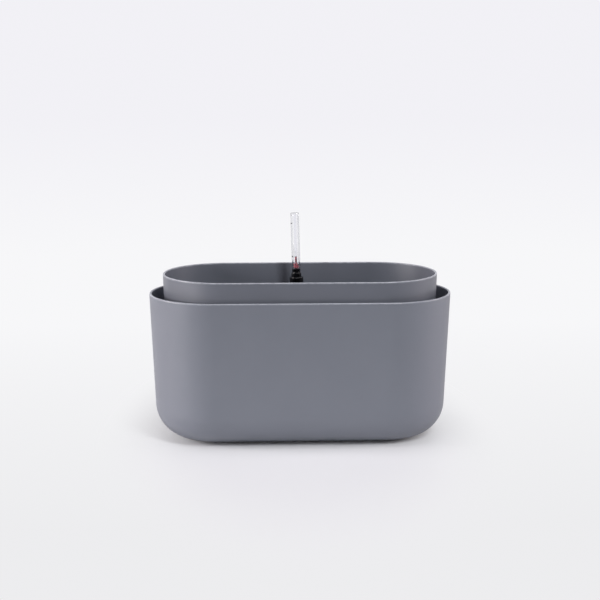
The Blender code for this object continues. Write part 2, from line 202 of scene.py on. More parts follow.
def as_object(name, shape):
    """Turns a bmesh into an object with its faces pointing out."""
    bmesh.ops.recalc_face_normals(shape, faces=shape.faces)
    mesh = bpy.data.meshes.new(name)
    shape.to_mesh(mesh)
    shape.free()
    made = bpy.data.objects.new(name, mesh)
    bpy.context.scene.collection.objects.link(made)
    return made


def carve(part, shape, operation="DIFFERENCE"):
    """Cuts a shape out of a piece, or adds it, and keeps only the mesh that results."""
    tool = as_object("tool", shape)
    step = part.modifiers.new("carve", "BOOLEAN")
    step.operation = operation
    step.object = tool
    graph = bpy.context.evaluated_depsgraph_get()
    carved = bpy.data.meshes.new_from_object(part.evaluated_get(graph))
    part.modifiers.clear()
    part.data = carved
    bpy.data.objects.remove(tool)


def dress(part, finish, node, body):
    """Shades a piece smooth, gives it its finish, and lets it stand for its solid."""
    part.data.shade_smooth()
    part.data.set_sharp_from_angle(angle=SHARP_ANGLE)
    normals = part.modifiers.new("even_normals", "WEIGHTED_NORMAL")
    normals.keep_sharp = True
    part.data.materials.clear()
    part.data.materials.append(finish)
    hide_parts(node)
    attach(part, body)


def plug(tree, node, inputs):
    """Gives each listed input of a node its value, or the output that feeds it."""
    for socket, value in inputs.items():
        if isinstance(value, bpy.types.NodeSocket):
            tree.links.new(value, node.inputs[socket])
        else:
            node.inputs[socket].default_value = value


def add_node(tree, kind, inputs=None, **settings):
    """Adds a shader node with its settings, and plugs in its inputs."""
    made = tree.nodes.new(kind)
    for setting, value in settings.items():
        setattr(made, setting, value)
    plug(tree, made, inputs or {})
    return made


def own_place(tree):
    """Each point's place in the piece's own frame, in metres."""
    return add_node(tree, "ShaderNodeTexCoord").outputs["Object"]


def noise(tree, place, per_metre, detail, roughness=0.5):
    """An uneven pattern between 0 and 1, with so many waves to the metre."""
    inputs = {"Vector": place, "Scale": per_metre, "Detail": detail, "Roughness": roughness}
    return add_node(tree, "ShaderNodeTexNoise", inputs).outputs["Fac"]


def remap(tree, value, before=(0, 1), after=(0, 1), **settings):
    """A value moved from one range to another, and kept within it."""
    ends = {
        "From Min": before[0],
        "From Max": before[1],
        "To Min": after[0],
        "To Max": after[1],
    }
    made = add_node(tree, "ShaderNodeMapRange", {"Value": value, **ends}, **settings)
    return made.outputs["Result"]


def calculate(tree, operation, first, second):
    """The result of a Math node on two numbers."""
    made = add_node(tree, "ShaderNodeMath", {0: first, 1: second}, operation=operation)
    return made.outputs["Value"]


def mix_colours(tree, factor, first, second):
    """The colour output of a Mix node, whose colour sockets are its seventh and eighth."""
    inputs = {0: factor, 6: first, 7: second}
    return add_node(tree, "ShaderNodeMix", inputs, data_type="RGBA").outputs[2]


def bumps(tree, height, strength, depth, **settings):
    """The normals of a surface that a height between 0 and 1 makes uneven."""
    inputs = {"Height": height, "Strength": strength, "Distance": depth}
    return add_node(tree, "ShaderNodeBump", inputs, **settings).outputs["Normal"]


def shader_group(name, inputs, outputs):
    """A node group with number inputs, given with their defaults, and number outputs."""
    group = bpy.data.node_groups.new(name, "ShaderNodeTree")
    for label, default in inputs.items():
        socket = group.interface.new_socket(label, in_out="INPUT", socket_type="NodeSocketFloat")
        socket.default_value = default
    for label in outputs:
        group.interface.new_socket(label, in_out="OUTPUT", socket_type="NodeSocketFloat")
    return group


def make_moulded_skin():
    """Spark-eroded mould grain, the slow mottle of the flowing melt, and both as one gloss."""
    group = shader_group(
        "moulded_skin",
        {"Grain per Metre": 2600, "Mottle per Metre": 26},
        ("Grain", "Mottle", "Gloss"),
    )
    sizes = group.nodes.new("NodeGroupInput").outputs
    place = own_place(group)
    grain = noise(group, place, sizes["Grain per Metre"], detail=2.0, roughness=0.6)
    melt = noise(group, place, sizes["Mottle per Metre"], detail=3.0)
    mottle = remap(group, melt, MOTTLE_CONTRAST)
    gloss = calculate(group, "MULTIPLY", grain, mottle)
    results = group.nodes.new("NodeGroupOutput")
    plug(group, results, {"Grain": grain, "Mottle": mottle, "Gloss": gloss})
    return group


def make_rim_band():
    """A broken band between two heights, where handling has polished the skin and where the rim's
    painted highlight goes.
    """
    group = shader_group(
        "rim_band",
        {"Clear Height": 0.0, "Band Top Height": 1.0, "Break per Metre": 240},
        ("Polish And Highlight",),
    )
    sizes = group.nodes.new("NodeGroupInput").outputs
    place = own_place(group)
    height = add_node(group, "ShaderNodeSeparateXYZ", {"Vector": place}).outputs["Z"]
    band = remap(group, height, (sizes["Clear Height"], sizes["Band Top Height"]))
    breaks = noise(group, place, sizes["Break per Metre"], detail=4.0)
    patchy = remap(group, breaks, RIM_BAND_CONTRAST, (RIM_BAND_LEAST, 1))
    polish_and_highlight = calculate(group, "MULTIPLY", band, patchy)
    plug(group, group.nodes.new("NodeGroupOutput"), {"Polish And Highlight": polish_and_highlight})
    return group


moulded_skin = make_moulded_skin()
rim_band = make_rim_band()


def new_finish(name):
    """A new material, its node tree and its shader."""
    made = bpy.data.materials.new(name)
    made.use_nodes = True
    return made, made.node_tree, made.node_tree.nodes["Principled BSDF"]


def matt_plastic(name, light, dark, rim_wear_and_highlight, rim_height):
    """Matt moulded polypropylene whose rim is slightly polished by hands and painted lighter as a
    painted highlight.
    """
    made, tree, shader = new_finish(name)
    skin = add_node(tree, "ShaderNodeGroup", node_tree=moulded_skin).outputs
    heights = {"Clear Height": rim_height - RIM_BAND_DEPTH, "Band Top Height": rim_height}
    polish_and_highlight = add_node(tree, "ShaderNodeGroup", heights, node_tree=rim_band).outputs["Polish And Highlight"]
    plain = mix_colours(tree, skin["Mottle"], dark, light)
    roughness = remap(tree, skin["Gloss"], after=MATT_ROUGHNESS)
    polish = remap(tree, polish_and_highlight, after=(1, RUBBED_ROUGHNESS_SHARE))
    # The rim band's lighter colour is mostly a painted highlight, with a little real wear. Its
    # lower roughness is real polish.
    surface = {
        "Base Color": mix_colours(tree, polish_and_highlight, plain, rim_wear_and_highlight),
        "Roughness": calculate(tree, "MULTIPLY", roughness, polish),
        "Normal": bumps(tree, skin["Grain"], strength=0.5, depth=MATT_GRAIN_DEPTH),
    }
    plug(tree, shader, surface)
    return made


pot_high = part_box("outer_pot")[1]
pot_shell = shell_outline(0, pot_high.z, POT_FOOT_RADIUS, POT_SLOPE, POT_WALL, POT_FLOOR)
base_inset = pot_shell[0][0] + BASE_RING_WIDTH
base = [
    (base_inset + 2 * BASE_RECESS, BASE_RECESS),
    (base_inset + BASE_RECESS, BASE_RECESS),
    (base_inset, 0),
]
outer_pot = as_object("outer_pot_shell", loft_oblong(pot_high.x, pot_high.y, base + pot_shell))
post_places = [(x, y) for x in (-POST_X, POST_X) for y in (-POST_Y, POST_Y)]
ring_low = (BASE_RECESS + POT_FLOOR) / 2
ring_high = POT_FLOOR + RING_HEIGHT
ring_inside = POST_FOOT_RADIUS + RING_GAP
ring_outside = ring_inside + RING_WALL
ring = [
    (ring_inside, ring_low),
    (ring_outside, ring_low),
    (ring_outside, ring_high),
    (ring_inside, ring_high),
]
carve(outer_pot, turned(soften(ring, RING_WALL / 4), post_places, POST_STEPS), "UNION")
gate = peg_outline(GATE_RADIUS, GATE_RADIUS, ring_low, BASE_RECESS - GATE_HEIGHT)
carve(outer_pot, turned(soften(gate, GATE_HEIGHT / 2), steps=GATE_STEPS), "UNION")
pot_plastic = matt_plastic(
    "pot_grey_polypropylene", POT_GREY, POT_GREY_DARK, POT_RIM_WEAR_AND_HIGHLIGHT, pot_high.z
)
dress(outer_pot, pot_plastic, "outer_pot", "outer_pot")


# Liner
# The soil pot is a second polypropylene moulding, which stands proud of the first on four
# hollow posts. Its floor has round mouths for the wick cups, a socket for the gauge and rows
# of drain holes.
LINER_WALL = 0.0020
LINER_FLOOR = 0.0022
LINER_SLOPE = math.tan(math.radians(1.7))
LINER_FOOT_RADIUS = 0.012
LINER_UNDERSIDE = 0.0530
POST_HEAD_RADIUS = 0.0075
POST_WALL = 0.0016
POST_EDGE = 0.0006
CUP_X = 0.0475
CUP_MOUTH_RADIUS = 0.0190
CUP_FLANGE_RADIUS = 0.0220
CUP_GAP = 0.0005
SOCKET_BORE = 0.00725
SOCKET_RADIUS = 0.00905
SOCKET_HEIGHT = 0.0100
SOCKET_EDGE = 0.0004
DRAIN_HOLE_RADIUS = 0.0025
DRAIN_LAND = 0.0030
DRAIN_COLUMNS = 9
DRAIN_ROWS = 5
DRAIN_STEPS = 32
HOLE_CHAMFER = 0.0003
LINER_GREY = (0.150, 0.159, 0.190, 1)
LINER_GREY_DARK = (0.144, 0.153, 0.183, 1)
# The rubbed grey is lighter mostly as a painted highlight of the light along the round rim, and a
# little for real wear.
LINER_RIM_WEAR_AND_HIGHLIGHT = (0.440, 0.455, 0.500, 1)

liner_low, liner_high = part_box("inner_pot")
shaft_low, shaft_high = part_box("gauge_shaft")
gauge_y = (shaft_low.y + shaft_high.y) / 2
liner_floor_top = LINER_UNDERSIDE + LINER_FLOOR
liner_middle = LINER_UNDERSIDE + LINER_FLOOR / 2
cup_places = [(-CUP_X, 0), (CUP_X, 0)]
socket_place = [(0, gauge_y)]


def drain_places():
    """Even rows over the liner's flat floor, clear of cups, posts and socket."""
    flare = (liner_high.z - LINER_UNDERSIDE - LINER_FOOT_RADIUS) * LINER_SLOPE
    inset = flare + LINER_FOOT_RADIUS
    room = DRAIN_HOLE_RADIUS + DRAIN_LAND
    row_y = liner_high.y - inset - room
    row_x = liner_high.x - liner_high.y
    taken = [(x, y, POST_HEAD_RADIUS) for x, y in post_places]
    taken += [(x, y, CUP_FLANGE_RADIUS) for x, y in cup_places]
    taken.append((0, gauge_y, SOCKET_RADIUS))
    places = [(-row_x - row_y, 0), (row_x + row_y, 0)]
    for i in range(DRAIN_COLUMNS):
        for j in range(DRAIN_ROWS):
            x = row_x * (2 * i / (DRAIN_COLUMNS - 1) - 1)
            y = row_y * (2 * j / (DRAIN_ROWS - 1) - 1)
            if all(math.hypot(x - a, y - b) > r + room for a, b, r in taken):
                places.append((x, y))
    return places


def floor_bore(radius, top):
    """A cutter's outline right through the floor, a little wider where it comes out on top."""
    low = LINER_UNDERSIDE - LINER_FLOOR
    high = top + LINER_FLOOR
    wide = radius + HOLE_CHAMFER
    return [
        (0, low),
        (radius, low),
        (radius, top - HOLE_CHAMFER),
        (wide, top),
        (wide, high),
        (0, high),
    ]


liner_shell = shell_outline(
    LINER_UNDERSIDE, liner_high.z, LINER_FOOT_RADIUS, LINER_SLOPE, LINER_WALL, LINER_FLOOR
)
liner = as_object("liner_shell", loft_oblong(liner_high.x, liner_high.y, liner_shell))
post = peg_outline(POST_FOOT_RADIUS, POST_HEAD_RADIUS, liner_low.z, liner_middle)
carve(liner, turned(soften(post, POST_EDGE), post_places, POST_STEPS), "UNION")
hollow = peg_outline(
    POST_FOOT_RADIUS - POST_WALL,
    POST_HEAD_RADIUS - POST_WALL,
    liner_low.z + POST_WALL,
    liner_floor_top + LINER_FLOOR,
)
carve(liner, turned(hollow, post_places, POST_STEPS))
socket_top = liner_floor_top + SOCKET_HEIGHT
socket = peg_outline(SOCKET_RADIUS, SOCKET_RADIUS, liner_middle, socket_top)
carve(liner, turned(soften(socket, SOCKET_EDGE), socket_place), "UNION")
carve(liner, turned(floor_bore(SOCKET_BORE, socket_top), socket_place))
carve(liner, turned(floor_bore(CUP_MOUTH_RADIUS + CUP_GAP, liner_floor_top), cup_places))
drain_hole = floor_bore(DRAIN_HOLE_RADIUS, liner_floor_top)
carve(liner, turned(drain_hole, drain_places(), DRAIN_STEPS))
liner_plastic = matt_plastic(
    "liner_grey_polypropylene", LINER_GREY, LINER_GREY_DARK, LINER_RIM_WEAR_AND_HIGHLIGHT, liner_high.z
)
dress(liner, liner_plastic, "inner_pot", "liner")


# Wick cups
# Two black slotted cups are filled with soil and hang through the liner's floor into the
# water. Each is one tapered polypropylene moulding that rests on its flange.
CUP_FOOT_RADIUS = 0.0155
CUP_WALL = 0.0014
CUP_FLANGE_THICKNESS = 0.0016
CUP_EDGE = 0.0005
CUP_SLOT_WIDTH = 0.0024
CUP_SLOT_LAND = 0.0060
CUP_SLOTTED_SIDES = 4
SLOT_END_STEPS = 10
SLOT_BAR_REACH = 1.5
BLACK = (0.002, 0.002, 0.0025, 1)
BLACK_WORN = (0.006, 0.006, 0.007, 1)
BLACK_ROUGHNESS = 0.10
BLACK_GRAIN_PER_METRE = 1800
GLOSS_MOTTLE_PER_METRE = 160
GLOSS_GRAIN_DEPTH = 0.00004
DULLED_ROUGHNESS = 0.08


def slot_bars(width, radius, low, high, count):
    """Upright bars with round ends across the axis. Each cuts two opposite slots in a wall."""
    whole = bmesh.new()
    reach = SLOT_BAR_REACH * radius
    lower = arc((0, low + width / 2), width / 2, 180, 360, SLOT_END_STEPS)
    upper = arc((0, high - width / 2), width / 2, 0, 180, SLOT_END_STEPS)
    for i in range(count):
        turn = Matrix.Rotation(math.pi * (i + 0.5) / count, 4, "Z")
        ends = [
            [whole.verts.new(turn @ Vector((x, y, z))) for y, z in lower + upper]
            for x in (-reach, reach)
        ]
        join_rings(whole, ends)
    return whole


def gloss_plastic(name, colour, worn, roughness, grain_per_metre):
    """Glossy moulded plastic with faint moulding ripple and dulled patches."""
    made, tree, shader = new_finish(name)
    sizes = {"Grain per Metre": grain_per_metre, "Mottle per Metre": GLOSS_MOTTLE_PER_METRE}
    skin = add_node(tree, "ShaderNodeGroup", sizes, node_tree=moulded_skin).outputs
    surface = {
        "Base Color": mix_colours(tree, skin["Mottle"], colour, worn),
        "Roughness": remap(tree, skin["Gloss"], after=(roughness, roughness + DULLED_ROUGHNESS)),
        "Normal": bumps(tree, skin["Grain"], strength=0.25, depth=GLOSS_GRAIN_DEPTH),
    }
    plug(tree, shader, surface)
    return made


black_plastic = gloss_plastic(
    "black_polypropylene", BLACK, BLACK_WORN, BLACK_ROUGHNESS, BLACK_GRAIN_PER_METRE
)
for side, place in zip(("left", "right"), cup_places):
    node = f"{side}_wick_cup"
    cup_low, cup_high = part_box(node)
    flange_seat = cup_high.z - CUP_FLANGE_THICKNESS
    cup_outline = [
        (0, cup_low.z),
        (CUP_FOOT_RADIUS, cup_low.z),
        (CUP_MOUTH_RADIUS, flange_seat),
        (CUP_FLANGE_RADIUS, flange_seat),
        (CUP_FLANGE_RADIUS, cup_high.z),
        (CUP_MOUTH_RADIUS - CUP_WALL, cup_high.z),
        (CUP_FOOT_RADIUS - CUP_WALL, cup_low.z + CUP_WALL),
        (0, cup_low.z + CUP_WALL),
    ]
    cup = as_object(f"{node}_moulding", turned(soften(cup_outline, CUP_EDGE)))
    cup_bars = slot_bars(
        CUP_SLOT_WIDTH,
        CUP_MOUTH_RADIUS,
        cup_low.z + CUP_SLOT_LAND,
        LINER_UNDERSIDE - CUP_SLOT_LAND,
        CUP_SLOTTED_SIDES,
    )
    carve(cup, cup_bars)
    cup.data.transform(Matrix.Translation((*place, 0)))
    dress(cup, black_plastic, node, f"{side}_cup")


# Gauge shaft
# A column of the same black plastic stands by its flange on the liner's socket and guides the
# float. The whole gauge sits loose in the socket and leans a little to the left.
SEAT_GAP = 0.0003
FLOAT_RADIUS = 0.0038
FLOAT_GAP = 0.0005
SHAFT_WALL = 0.0011
SHAFT_FLANGE_RADIUS = 0.0088
SHAFT_FLANGE_THICKNESS = 0.0016
SHAFT_EDGE = 0.0003
STRAINER_BOTTOM = 0.0079
STRAINER_HEIGHT = 0.0100
COLLAR_BELOW_RIM = 0.0069
LEDGE_HEIGHT = 0.0041
COLLAR_TOP_WEB = 0.0018
GAUGE_STEPS = 48

lean_axis = next(joint["axis"] for joint in frame["joints"] if joint["name"] == "gauge_lift")
lean = math.atan2(-lean_axis[0], lean_axis[2])
gauge_frame = Matrix.Translation((0, gauge_y, socket_top)) @ Matrix.Rotation(-lean, 4, "Y")
shaft_bore = FLOAT_RADIUS + FLOAT_GAP
shaft_radius = shaft_bore + SHAFT_WALL
strainer_step = STRAINER_BOTTOM + STRAINER_HEIGHT
flange_bottom = socket_top + SEAT_GAP + SHAFT_FLANGE_RADIUS * math.tan(lean)
flange_top = flange_bottom + SHAFT_FLANGE_THICKNESS
ledge_top = liner_high.z - COLLAR_BELOW_RIM
collar_shoulder = ledge_top - LEDGE_HEIGHT
collar_web_bottom = collar_shoulder - COLLAR_TOP_WEB


def gauge_object(name, outline, edge, steps=GAUGE_STEPS):
    """A turned piece of the gauge, from heights above the table to the leaning axis."""
    from_socket = [(r, z - socket_top) for r, z in outline]
    made = as_object(name, turned(soften(from_socket, edge), steps=steps))
    made.data.transform(gauge_frame)
    return made


shaft_outline = [
    (shaft_bore, strainer_step + SEAT_GAP),
    (shaft_radius, strainer_step + SEAT_GAP),
    (shaft_radius, flange_bottom),
    (SHAFT_FLANGE_RADIUS, flange_bottom),
    (SHAFT_FLANGE_RADIUS, flange_top),
    (shaft_radius, flange_top),
    (shaft_radius, collar_web_bottom - SEAT_GAP),
    (shaft_bore, collar_web_bottom - SEAT_GAP),
]
shaft = gauge_object("gauge_shaft_column", shaft_outline, SHAFT_EDGE)
dress(shaft, black_plastic, "gauge_shaft", "gauge")


# Strainer cap
# A slotted cap of black plastic grips the shaft's foot. It lets water in, keeps soil out and
# is the seat of the float when the pot is dry.
STRAINER_FLOOR = 0.0012
STRAINER_EDGE = 0.0003
STRAINER_SLOT_WIDTH = 0.0016
STRAINER_SLOTTED_SIDES = 3
CAP_WALL = 0.00085
CAP_GRIP = 0.0080

cap_bore = shaft_radius + SEAT_GAP
cap_radius = cap_bore + CAP_WALL
strainer_floor_top = STRAINER_BOTTOM + STRAINER_FLOOR
strainer_outline = [
    (0, STRAINER_BOTTOM),
    (shaft_radius, STRAINER_BOTTOM),
    (shaft_radius, strainer_step - CAP_WALL),
    (cap_radius, strainer_step - CAP_WALL),
    (cap_radius, strainer_step + CAP_GRIP),
    (cap_bore, strainer_step + CAP_GRIP),
    (cap_bore, strainer_step),
    (shaft_bore, strainer_step),
    (shaft_bore, strainer_floor_top),
    (0, strainer_floor_top),
]
softened_strainer = soften(strainer_outline, STRAINER_EDGE)
strainer = as_object("strainer_cap_moulding", turned(softened_strainer, steps=GAUGE_STEPS))
strainer_bars = slot_bars(
    STRAINER_SLOT_WIDTH,
    cap_radius,
    strainer_floor_top + STRAINER_FLOOR,
    strainer_step - CAP_WALL - STRAINER_FLOOR,
    STRAINER_SLOTTED_SIDES,
)
carve(strainer, strainer_bars)
strainer.data.transform(gauge_frame @ Matrix.Translation((0, 0, -socket_top)))
dress(strainer, black_plastic, "strainer_cap", "gauge")


# Gauge collar
# A stepped cap of black plastic is pushed over the top of the shaft. Its ledge carries the
# clear tube, which grips its spigot without an air gap. The red rod slides in its bore.
ROD_RADIUS = 0.0009
ROD_GAP = 0.00045
SPIGOT_WALL = 0.00125
SPIGOT_HEIGHT = 0.0046
SPIGOT_CHAMFER = 0.0004
SPIGOT_BITE = 0.00003
TUBE_WALL = 0.0011
LEDGE_MARGIN = 0.00075
COLLAR_EDGE = 0.00025

spigot_bore = ROD_RADIUS + ROD_GAP
spigot_radius = spigot_bore + SPIGOT_WALL
spigot_top = ledge_top + SPIGOT_HEIGHT
tube_bore = spigot_radius + SEAT_GAP
tube_radius = tube_bore + TUBE_WALL
ledge_radius = tube_radius + LEDGE_MARGIN
gripped_radius = tube_bore + SPIGOT_BITE
collar_bottom = collar_web_bottom - CAP_GRIP
collar_outline = [
    (spigot_bore, collar_web_bottom),
    (cap_bore, collar_web_bottom),
    (cap_bore, collar_bottom),
    (cap_radius, collar_bottom),
    (cap_radius, collar_shoulder),
    (ledge_radius, collar_shoulder),
    (ledge_radius, ledge_top),
    (gripped_radius, ledge_top),
    (gripped_radius, spigot_top - SPIGOT_CHAMFER),
    (spigot_radius, spigot_top),
    (spigot_bore, spigot_top),
]
collar = gauge_object("gauge_collar_cap", collar_outline, COLLAR_EDGE)
dress(collar, black_plastic, "gauge_collar", "gauge")


# Clear sight tube
# An extruded acrylic tube with a closed top is pushed over the collar's spigot. It has
# faint draw lines along it and real wall thickness.
TUBE_END = 0.0016
TUBE_EDGE = 0.0004
TUBE_STEPS = 64
ROD_SHOULDER_HEIGHT = 0.0041
TIP_ABOVE_SHOULDER = 0.0068
FLOAT_TRAVEL = 0.032
TUBE_HEADROOM = 0.0082
ACRYLIC_INDEX = 1.49
# The core and edge colours are painted shade, not a tint of the acrylic itself.
ACRYLIC_CORE_SHADE = (0.935, 0.935, 0.958, 1)
ACRYLIC_CLEAR = (0.995, 0.995, 0.998, 1)
ACRYLIC_EDGE_SHADE = (0.42, 0.425, 0.45, 1)
CORE_TILT = (0.03, 0.12)
EDGE_SHADE_TILT = (0.38, 0.46)
DRAW_LINES_PER_METRE = 900
DRAW_LINE_STRETCH = (1, 1, 0.02)
DRAW_LINE_DEPTH = 0.00001
SMUDGES_PER_METRE = 130
SMUDGE_CONTRAST = (0.4, 0.75)
SMUDGE_ROUGHNESS = 0.03

rod_shoulder = spigot_top + SEAT_GAP
rod_shoulder_top = rod_shoulder + ROD_SHOULDER_HEIGHT
rod_tip = rod_shoulder_top + TIP_ABOVE_SHOULDER
tube_top = rod_tip + FLOAT_TRAVEL + TUBE_HEADROOM + TUBE_END
tube_outline = [
    (tube_bore, ledge_top + SEAT_GAP),
    (tube_radius, ledge_top + SEAT_GAP),
    (tube_radius, tube_top),
    (0, tube_top),
    (0, tube_top - TUBE_END),
    (tube_bore, tube_top - TUBE_END),
]
tube = gauge_object("clear_sight_tube", tube_outline, TUBE_EDGE, TUBE_STEPS)


def make_clear_acrylic():
    """Clear acrylic, a little uneven along the draw and softly smudged. Its colour is painted
    shade: faintly grey face-on and dark at its sides.
    """
    made, tree, shader = new_finish("clear_acrylic")
    # The tint below is painted shade: a faint grey face-on for light lost to reflection, and dark
    # sides for the dark room seen through the wall's edges.
    tilt = add_node(tree, "ShaderNodeLayerWeight", {"Blend": 0.5}).outputs["Facing"]
    tint = mix_colours(tree, remap(tree, tilt, CORE_TILT), ACRYLIC_CORE_SHADE, ACRYLIC_CLEAR)
    place = own_place(tree)
    stretch = {"Vector": place, "Scale": DRAW_LINE_STRETCH}
    drawn = add_node(tree, "ShaderNodeMapping", stretch).outputs["Vector"]
    lines = noise(tree, drawn, DRAW_LINES_PER_METRE, detail=1.0)
    smudges = noise(tree, place, SMUDGES_PER_METRE, detail=3.0)
    surface = {
        "Base Color": mix_colours(tree, remap(tree, tilt, EDGE_SHADE_TILT), tint, ACRYLIC_EDGE_SHADE),
        "Roughness": remap(tree, smudges, SMUDGE_CONTRAST, (0, SMUDGE_ROUGHNESS)),
        "IOR": ACRYLIC_INDEX,
        "Normal": bumps(tree, lines, strength=0.1, depth=DRAW_LINE_DEPTH),
        "Transmission Weight": 1.0,
    }
    plug(tree, shader, surface)
    return made


dress(tube, make_clear_acrylic(), "sight_tube", "gauge")


# Level marks
# Two short lines are printed in dark ink on the tube's left side: the lower one at the rod's
# tip when the pot is dry, the upper one where the tip stands when it is full.
MARK_HEIGHT = 0.0007
MARK_THICKNESS = 0.00005
MARK_LIFT = 0.00001
MARK_START = 150
MARK_END = 220
MARK_STEPS = 16
INK = (0.03, 0.03, 0.035, 1)
INK_THIN = (0.06, 0.06, 0.065, 1)
INK_ROUGHNESS = 0.5
INK_SPECKS_PER_METRE = 3000


def make_printed_ink():
    """Dark pad-printed ink, thin and slightly uneven."""
    made, tree, shader = new_finish("printed_ink")
    specks = noise(tree, own_place(tree), INK_SPECKS_PER_METRE, detail=2.0)
    colour = mix_colours(tree, specks, INK, INK_THIN)
    plug(tree, shader, {"Base Color": colour, "Roughness": INK_ROUGHNESS})
    return made


def make_level_mark(name, height, finish):
    """A thin printed arc round part of the tube, between two angles in degrees."""
    inside = tube_radius + MARK_LIFT
    outside = inside + MARK_THICKNESS
    low = height - socket_top - MARK_HEIGHT / 2
    high = height - socket_top + MARK_HEIGHT / 2
    section = [(inside, low), (outside, low), (outside, high), (inside, high)]
    shape = bmesh.new()
    rings = []
    for i in range(MARK_STEPS + 1):
        angle = math.radians(MARK_START + (MARK_END - MARK_START) * i / MARK_STEPS)
        turn = Matrix.Rotation(angle, 4, "Z")
        rings.append([shape.verts.new(turn @ Vector((r, 0, z))) for r, z in section])
    join_rings(shape, rings)
    mark = as_object(name, shape)
    mark.data.transform(gauge_frame)
    mark.data.materials.append(finish)
    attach(mark, "gauge")


printed_ink = make_printed_ink()
make_level_mark("low_level_mark", rod_tip, printed_ink)
make_level_mark("full_level_mark", rod_tip + FLOAT_TRAVEL, printed_ink)


# Indicator rod
# A glossy red polystyrene rod stands on the float and passes through the collar. Its thicker
# shoulder rests on the spigot when the pot is dry, and its tip shows the level.
SHOULDER_GAP = 0.0005
FLOAT_LENGTH = 0.036
ROD_EDGE = 0.0004
ROD_STEPS = 40
RED = (0.37, 0.100, 0.120, 1)
RED_DEEP = (0.32, 0.085, 0.103, 1)
RED_ROUGHNESS = 0.22
RED_GRAIN_PER_METRE = 1500

float_bottom = strainer_floor_top + SEAT_GAP
float_top = float_bottom + FLOAT_LENGTH
shoulder_radius = tube_bore - SHOULDER_GAP
rod_outline = [
    (0, float_top + SEAT_GAP),
    (ROD_RADIUS, float_top + SEAT_GAP),
    (ROD_RADIUS, rod_shoulder),
    (shoulder_radius, rod_shoulder),
    (shoulder_radius, rod_shoulder_top),
    (ROD_RADIUS, rod_shoulder_top),
    (ROD_RADIUS, rod_tip),
    (0, rod_tip),
]
rod = gauge_object("red_indicator_rod", rod_outline, ROD_EDGE, ROD_STEPS)
red_plastic = gloss_plastic("red_polystyrene", RED, RED_DEEP, RED_ROUGHNESS, RED_GRAIN_PER_METRE)
dress(rod, red_plastic, "indicator_rod", "float")


# Float
# A slim cylinder of white closed-cell foam floats inside the shaft and lifts the rod.
# Its skin shows the cut cells.
FLOAT_EDGE = 0.0009
FOAM = (0.86, 0.86, 0.84, 1)
FOAM_SHADE = (0.74, 0.74, 0.72, 1)
FOAM_ROUGHNESS = 0.85
FOAM_CELLS_PER_METRE = 1400
FOAM_CELL_DEPTH = 0.0002

float_outline = peg_outline(FLOAT_RADIUS, FLOAT_RADIUS, float_bottom, float_top)
foam_float = gauge_object("foam_float", float_outline, FLOAT_EDGE)


def make_closed_cell_foam():
    """White foam with fine cells, shown as dimples and slightly darker pits."""
    made, tree, shader = new_finish("closed_cell_foam")
    pattern = {"Vector": own_place(tree), "Scale": FOAM_CELLS_PER_METRE}
    cells = add_node(tree, "ShaderNodeTexVoronoi", pattern).outputs["Distance"]
    surface = {
        "Base Color": mix_colours(tree, cells, FOAM_SHADE, FOAM),
        "Roughness": FOAM_ROUGHNESS,
        "Normal": bumps(tree, cells, strength=0.6, depth=FOAM_CELL_DEPTH, invert=True),
    }
    plug(tree, shader, surface)
    return made


dress(foam_float, make_closed_cell_foam(), "float", "float")


# Floor
# A pale satin studio table, on which the pot keeps its shadow. Further out it fades into the
# white of the surround, which is painted darker towards the front as a painted falloff of the
# light.
FLOOR_RADIUS = 0.70
FLOOR_SHIFT = 0.20
FLOOR_STEPS = 96
FLOOR_COLOUR = (0.825, 0.825, 0.84, 1)
FLOOR_ROUGHNESS = 0.5
FLOOR_SPECULAR = 0.3
# The near and far surround colours paint the light falling off towards the front.
SURROUND_NEAR = (0.845, 0.845, 0.860, 1)
SURROUND_FAR = (0.930, 0.930, 0.945, 1)
SURROUND_DEPTH = (-0.25, 0.50)
SIDE_FADE = 1.0
FRONT_FADE = 0.5
FADE_DISTANCES = (0.08, 0.19)

floor_shape = bmesh.new()
bmesh.ops.create_circle(floor_shape, cap_ends=True, segments=FLOOR_STEPS, radius=FLOOR_RADIUS)
bmesh.ops.translate(floor_shape, verts=floor_shape.verts, vec=(0, FLOOR_SHIFT, 0))
floor = as_object("studio_floor", floor_shape)


def seen_directly(tree):
    """1 for rays from the camera, also through the clear tube, and 0 for all other light."""
    rays = add_node(tree, "ShaderNodeLightPath").outputs
    return calculate(tree, "MAXIMUM", rays["Is Camera Ray"], rays["Is Transmission Ray"])


def make_floor_finish():
    """The table near the pot, and the surround's own white further out."""
    made, tree, shader = new_finish("studio_floor")
    satin = {
        "Base Color": FLOOR_COLOUR,
        "Roughness": FLOOR_ROUGHNESS,
        "Specular IOR Level": FLOOR_SPECULAR,
    }
    plug(tree, shader, satin)
    place = own_place(tree)
    fades = {0: place, 1: (SIDE_FADE, FRONT_FADE, 1)}
    scaled = add_node(tree, "ShaderNodeVectorMath", fades, operation="MULTIPLY").outputs["Vector"]
    length = add_node(tree, "ShaderNodeVectorMath", {0: scaled}, operation="LENGTH")
    distance = length.outputs["Value"]
    far = remap(tree, distance, FADE_DISTANCES, interpolation_type="SMOOTHSTEP")
    depth = add_node(tree, "ShaderNodeSeparateXYZ", {"Vector": place}).outputs["Y"]
    # The surround is painted darker towards the front and lighter behind, as a painted falloff of
    # the studio light.
    shade = mix_colours(tree, remap(tree, depth, SURROUND_DEPTH), SURROUND_NEAR, SURROUND_FAR)
    white = add_node(tree, "ShaderNodeEmission", {"Color": shade, "Strength": 1.0})
    share = calculate(tree, "MULTIPLY", far, seen_directly(tree))
    both = {0: share, 1: shader.outputs["BSDF"], 2: white.outputs["Emission"]}
    mixed = add_node(tree, "ShaderNodeMixShader", both).outputs["Shader"]
    plug(tree, tree.nodes["Material Output"], {"Surface": mixed})
    return made


floor.data.materials.append(make_floor_finish())


